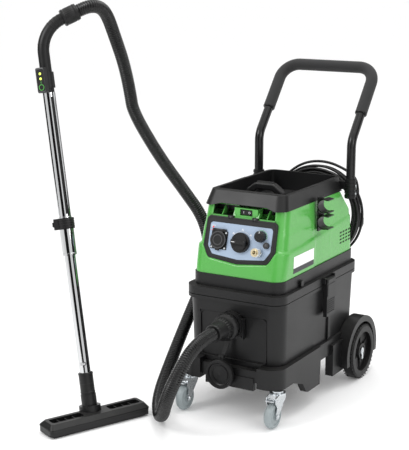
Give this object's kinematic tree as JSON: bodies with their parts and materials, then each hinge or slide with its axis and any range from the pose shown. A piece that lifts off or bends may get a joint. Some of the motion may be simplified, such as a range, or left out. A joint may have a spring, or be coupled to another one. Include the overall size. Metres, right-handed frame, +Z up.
{
  "type": "shop vacuum",
  "caption": "Wheeled wet and dry shop vacuum with lift-off head, control panel, push handle, ribbed hose, telescopic wand and floor tool.",
  "frame": {"origin": "on the floor under the middle of the tank", "axes": "+Z up, the control panel and hose inlet face -Y, +X to the right of someone facing the panel from behind it"},
  "size_m": [0.7332, 1.0374, 1.1701],
  "materials": {
    "black_plastic": "moulded matt, fine texture",
    "green_plastic": "bright green, gloss",
    "bezel_plastic": "dark grey, satin",
    "panel_foil": "blue-grey foil",
    "knob_plastic": "black, satin",
    "chrome": "polished tube",
    "zinc": "zinc plated",
    "caster_tread": "grey elastomer",
    "wheel_plastic": "black, satin",
    "foam": "charcoal foam",
    "handle_tube": "black powder coat",
    "hose": "ribbed, satin",
    "cable_rubber": "satin",
    "brass": "nickelled brass",
    "motor_steel": "laminated",
    "copper": "wound",
    "board": "circuit board",
    "filter_paper": "pleated",
    "seal": "soft",
    "float_plastic": "hollow float"
  },
  "bodies": {
    "tank_unit": {"chassis_base": "black_plastic", "tank_shell": "black_plastic", "tank_gasket": "seal", "rear_axle": "zinc", "inlet_flange": "black_plastic", "suction_hose": "hose", "hose_cuff": "black_plastic"},
    "head": {"head_skirt": "black_plastic", "green_cover": "green_plastic", "control_bezel": "bezel_plastic", "panel_sheet": "panel_foil", "storage_tray": "black_plastic", "carry_handle": "black_plastic", "push_handle": "handle_tube", "handle_foam": "foam", "handle_sockets": "black_plastic", "wand_clips": "black_plastic", "cable_hook": "black_plastic", "mains_cable": "cable_rubber", "mains_coil": "cable_rubber", "mains_plug": "cable_rubber", "cable_gland": "black_plastic", "socket_body": "knob_plastic", "coupler_body": "brass", "motor_housing": "black_plastic", "motor_stator": "copper", "circuit_board": "board", "filter_plate": "black_plastic", "filter_cartridges": "filter_paper", "float_cage": "black_plastic", "deck_screws": "zinc"},
    "wand": {"bent_handle": "black_plastic", "remote_control": "black_plastic", "upper_tube": "chrome", "lock_collar": "black_plastic"},
    "wand_lower": {"lower_tube": "chrome", "tool_elbow": "black_plastic"},
    "tool": {"floor_tool": "black_plastic"},
    "caster_left": {"caster_fork_left": "zinc"},
    "caster_roller_left": {"caster_wheel_left": "caster_tread"},
    "brake_left": {"caster_brake_left": "zinc"},
    "wheel_left": {"rear_wheel_left": "wheel_plastic"},
    "latch_left_arm": {"latch_left": "black_plastic"},
    "caster_right": {"caster_fork_right": "zinc"},
    "caster_roller_right": {"caster_wheel_right": "caster_tread"},
    "brake_right": {"caster_brake_right": "zinc"},
    "wheel_right": {"rear_wheel_right": "wheel_plastic"},
    "latch_right_arm": {"latch_right": "black_plastic"},
    "connector": {"inlet_connector": "black_plastic"},
    "cap": {"inlet_cap": "black_plastic"},
    "selector": {"selector_knob": "knob_plastic"},
    "speed": {"speed_knob": "knob_plastic"},
    "reset": {"reset_button": "knob_plastic"},
    "rocker": {"rocker_switch": "knob_plastic"},
    "lid": {"socket_lid": "knob_plastic"},
    "sleeve": {"coupler_sleeve": "brass"},
    "rotor": {"motor_rotor": "motor_steel"},
    "float": {"float_ball": "float_plastic"},
    "lock": {"lock_slider": "black_plastic"},
    "remote": {"remote_button": "knob_plastic"}
  },
  "joints": [
    {"name": "caster_left_swivel", "type": "hinge", "parent": "tank_unit", "child": "caster_left", "pos_m": [-0.144, -0.25, 0.1], "axis": [0, 0, 1], "continuous": true},
    {"name": "caster_left_roll", "type": "hinge", "parent": "caster_left", "child": "caster_roller_left", "pos_m": [-0.144, -0.278, 0.0375], "axis": [1, 0, 0], "continuous": true},
    {"name": "caster_left_brake", "type": "hinge", "parent": "caster_left", "child": "brake_left", "pos_m": [-0.144, -0.28, 0.083], "axis": [1, 0, 0], "range_deg": [0, 12]},
    {"name": "rear_left_roll", "type": "hinge", "parent": "tank_unit", "child": "wheel_left", "pos_m": [-0.176, 0.234, 0.0865], "axis": [1, 0, 0], "continuous": true},
    {"name": "latch_left_hinge", "type": "hinge", "parent": "head", "child": "latch_left_arm", "pos_m": [-0.1625, 0.038, 0.362], "axis": [0, 1, 0], "range_deg": [0, 60]},
    {"name": "caster_right_swivel", "type": "hinge", "parent": "tank_unit", "child": "caster_right", "pos_m": [0.144, -0.25, 0.1], "axis": [0, 0, 1], "continuous": true},
    {"name": "caster_right_roll", "type": "hinge", "parent": "caster_right", "child": "caster_roller_right", "pos_m": [0.144, -0.278, 0.0375], "axis": [1, 0, 0], "continuous": true},
    {"name": "caster_right_brake", "type": "hinge", "parent": "caster_right", "child": "brake_right", "pos_m": [0.144, -0.28, 0.083], "axis": [1, 0, 0], "range_deg": [0, 12]},
    {"name": "rear_right_roll", "type": "hinge", "parent": "tank_unit", "child": "wheel_right", "pos_m": [0.176, 0.234, 0.0865], "axis": [1, 0, 0], "continuous": true},
    {"name": "latch_right_hinge", "type": "hinge", "parent": "head", "child": "latch_right_arm", "pos_m": [0.1625, 0.038, 0.362], "axis": [0, -1, 0], "range_deg": [0, 60]},
    {"name": "connector_swivel", "type": "hinge", "parent": "tank_unit", "child": "connector", "pos_m": [0, -0.3, 0.275], "axis": [0, -1, 0], "continuous": true},
    {"name": "cap_swing", "type": "hinge", "parent": "tank_unit", "child": "cap", "pos_m": [-0.019, -0.281, 0.181], "axis": [0, 1, 0], "range_deg": [-25, 25]},
    {"name": "head_lift", "type": "slide", "parent": "tank_unit", "child": "head", "axis": [0, 0, 1], "range_m": [0, 0.3]},
    {"name": "selector_turn", "type": "hinge", "parent": "head", "child": "selector", "pos_m": [0.005, -0.21559, 0.5035], "axis": [0, -0.9659, 0.2588], "range_deg": [-90, 90]},
    {"name": "speed_turn", "type": "hinge", "parent": "head", "child": "speed", "pos_m": [0.066, -0.20938, 0.52668], "axis": [0, -0.9659, 0.2588], "range_deg": [-135, 135]},
    {"name": "reset_press", "type": "slide", "parent": "head", "child": "reset", "axis": [0, 0.9659, -0.2588], "range_m": [0, 0.002], "stiffness_N_per_m": 300},
    {"name": "rocker_tilt", "type": "hinge", "parent": "head", "child": "rocker", "pos_m": [0.007, -0.18, 0.585], "axis": [1, 0, 0], "range_deg": [-6, 6]},
    {"name": "socket_lid_hinge", "type": "hinge", "parent": "head", "child": "lid", "pos_m": [-0.066, -0.21214, 0.5326], "axis": [-1, 0, 0], "range_deg": [0, 110], "stiffness_Nm_per_rad": 0.02},
    {"name": "coupler_pull", "type": "slide", "parent": "head", "child": "sleeve", "axis": [0, 0.9659, -0.2588], "range_m": [0, 0.002], "stiffness_N_per_m": 500},
    {"name": "motor_spin", "type": "hinge", "parent": "head", "child": "rotor", "pos_m": [0, 0.02, 0.44], "axis": [0, 0, 1], "continuous": true},
    {"name": "float_rise", "type": "slide", "parent": "head", "child": "float", "axis": [0, 0, 1], "range_m": [0, 0.03]},
    {"name": "wand_swivel", "type": "hinge", "parent": "tank_unit", "child": "wand", "pos_m": [-0.48994, -0.36227, 1.11825], "axis": [-0.6258, -0.659, -0.4173], "range_deg": [0, 90]},
    {"name": "wand_telescope", "type": "slide", "parent": "wand", "child": "wand_lower", "axis": [-0.1934, 0.0837, 0.9775], "range_m": [0, 0.3]},
    {"name": "tool_swivel", "type": "hinge", "parent": "wand_lower", "child": "tool", "pos_m": [-0.3257, -0.4965, 0.045], "axis": [-0.1934, 0.0837, 0.9775], "range_deg": [0, 60]},
    {"name": "lock_slide", "type": "slide", "parent": "wand", "child": "lock", "axis": [-0.1934, 0.0837, 0.9775], "range_m": [0, 0.003], "stiffness_N_per_m": 300},
    {"name": "remote_press", "type": "slide", "parent": "wand", "child": "remote", "axis": [-0.0985, 0.9897, -0.1042], "range_m": [0, 0.0012], "stiffness_N_per_m": 300}
  ]
}
